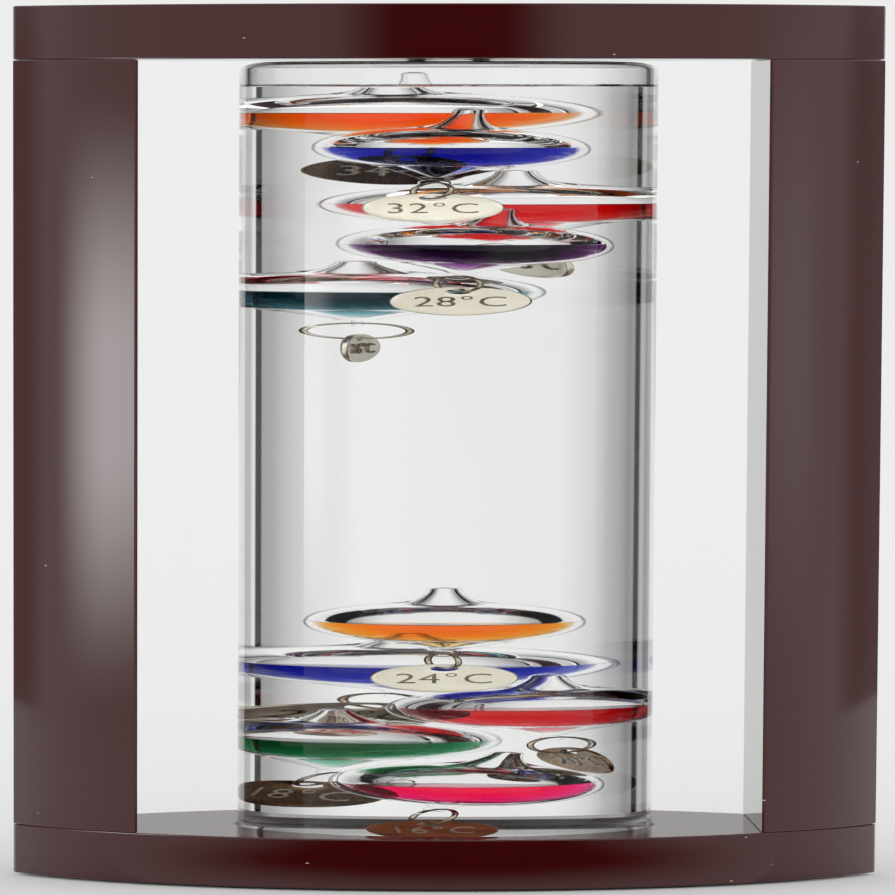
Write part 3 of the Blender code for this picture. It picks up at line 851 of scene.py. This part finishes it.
def surroundings():
    """A pale world, a little brighter from above."""
    world = bpy.data.worlds.new("studio")
    bpy.context.scene.world = world
    world.use_nodes = True
    tree = world.node_tree
    background = tree.nodes["Background"]
    background.inputs["Color"].default_value = (1.0, 1.0, 1.0, 1.0)
    split = tree.nodes.new("ShaderNodeSeparateXYZ")
    tree.links.new(tree.nodes.new("ShaderNodeTexCoord").outputs["Generated"], split.inputs[0])
    ramp = tree.nodes.new("ShaderNodeMapRange")
    ramp.interpolation_type = "SMOOTHSTEP"
    values = {"From Min": 0.08, "From Max": 0.3, "To Min": SURROUNDINGS, "To Max": SURROUNDINGS + 0.45}
    for key, value in values.items():
        ramp.inputs[key].default_value = value
    tree.links.new(split.outputs["Z"], ramp.inputs["Value"])
    tree.links.new(ramp.outputs["Result"], background.inputs["Strength"])


def studio():
    """The floor, soft boxes, dark shades that keep gloss off the wood, and the wall that edges the glass."""
    surroundings()
    floor_look = Look("pale_floor", Roughness=0.8, Base_Color=(0.655,) * 3, Specular_IOR_Level=0.1)
    card("floor", (0, 0, 0), (6, 0, 0), (0, 6, 0), floor_look.material, hidden=False)
    panel("soft_box_left", (-0.4, -0.06, 0.205), (0, 0.15, 0.2), 0.9, 7.2)
    panel("soft_box_right", (0.4, -0.03, 0.25), (0, 0.10, 0.25), 0.9, 1.35)
    panel("side_shade_left", (-0.4, 0.27, 0.2), (0, 0.18, 0.4), 0.5, 0.35)
    panel("side_shade_right", (0.4, 0.25, 0.2), (0, 0.18, 0.4), 0.5, 0.35)
    panel("table_shade", (0, -0.10, 0.002), (0.115, 0.08, 0), 0.6, 0.02)
    panel("camera_shade", (0, -1.5, 0.385), (0.85, 0, 0.42), 0.65, 0.03)
    left_edge = [(-24.2, 0.58), (-23.8, 0.50), (-23.6, 0.60), (-23.4, 0.88), (-23.15, 0.88)]
    left_line = [(-23.05, 0.0), (-22.45, 0.0)]
    middle = [(-22.35, 0.38), (-21.4, 0.39), (-20.5, 0.48), (-17.6, 0.67), (-11.5, 0.87), (0, 0.84)]
    middle += [(12, 0.82), (17.4, 0.61), (18.4, 0.49), (20.2, 0.40), (21.2, 0.27), (21.95, 0.33)]
    right_line = [(22.05, 0.0), (22.65, 0.0)]
    right_edge = [(22.75, 0.36), (23.1, 0.54), (23.6, 0.26), (24.0, 0.45), (24.4, 0.6)]
    backdrop(0.12, 0.002, 0.48, left_edge + left_line + middle + right_line + right_edge)


def camera_adapter(camera_object, distance, focal, squeeze, offset):
    """An anamorphic adapter: a tiny pane before the lens that spreads the view sideways by squeeze.

    offset is how far the middle of the picture looks right and up of straight ahead.
    """
    half = distance * 0.55 / focal
    look = Look("adapter_glass")
    look.tree.nodes.remove(look.shader)
    where = look.node("TexCoord").outputs["Object"]
    bent = look.node("VectorMath", {0: where}, operation="MULTIPLY_ADD")
    bent.inputs[1].default_value = (1 / (distance * squeeze), 0, 1 / distance)
    bent.inputs[2].default_value = (offset[0], 1, offset[1])
    unit = look.node("VectorMath", {0: bent.outputs[0]}, operation="NORMALIZE").outputs[0]
    direction = look.node("VectorTransform", {0: unit}, convert_from="OBJECT", convert_to="WORLD")
    portal = look.node("BsdfRayPortal", {"Direction": direction.outputs[0]})
    look.tree.links.new(portal.outputs[0], look.tree.nodes["Material Output"].inputs["Surface"])
    pane = card("camera_adapter", (0, 0, 0), (half, 0, 0), (0, 0, half), look.material, hidden=False)
    pane.rotation_euler = (camera_object.rotation_euler.x - math.radians(90), 0, 0)
    ahead = Vector((0, math.cos(pane.rotation_euler.x), math.sin(pane.rotation_euler.x)))
    pane.location = camera_object.location + distance * ahead
    for sort in ("diffuse", "glossy", "transmission", "volume_scatter", "shadow"):
        setattr(pane, "visible_" + sort, False)


def camera():
    """Camera at the photograph's eye height, 1.3 m in front, with its sideways stretch."""
    focal = 2.966  # in picture heights
    data = bpy.data.cameras.new("camera")
    data.lens = 36 * focal
    data.clip_start = 0.0001
    data.clip_end = 50
    obj = bpy.data.objects.new("camera", data)
    bpy.context.scene.collection.objects.link(obj)
    obj.location = (-0.0455, -1.3334, 0.3854)
    obj.rotation_euler = (math.radians(90 - 2.4), 0, 0)
    bpy.context.scene.camera = obj
    camera_adapter(obj, 0.0015, focal, 4.218, (0.0341, -0.0835))


def light_paths():
    """Enough bounces for a look through two globes, one behind the other."""
    cycles = bpy.context.scene.cycles
    cycles.max_bounces = 36
    cycles.transmission_bounces = 36
    cycles.transparent_max_bounces = 12
    cycles.glossy_bounces = 8
    cycles.diffuse_bounces = 4
    bpy.context.scene.view_settings.view_transform = "Standard"


wooden_frame()
glass_tube()
clear_liquid()
seats_and_seal()
globes()
studio()
camera()
light_paths()
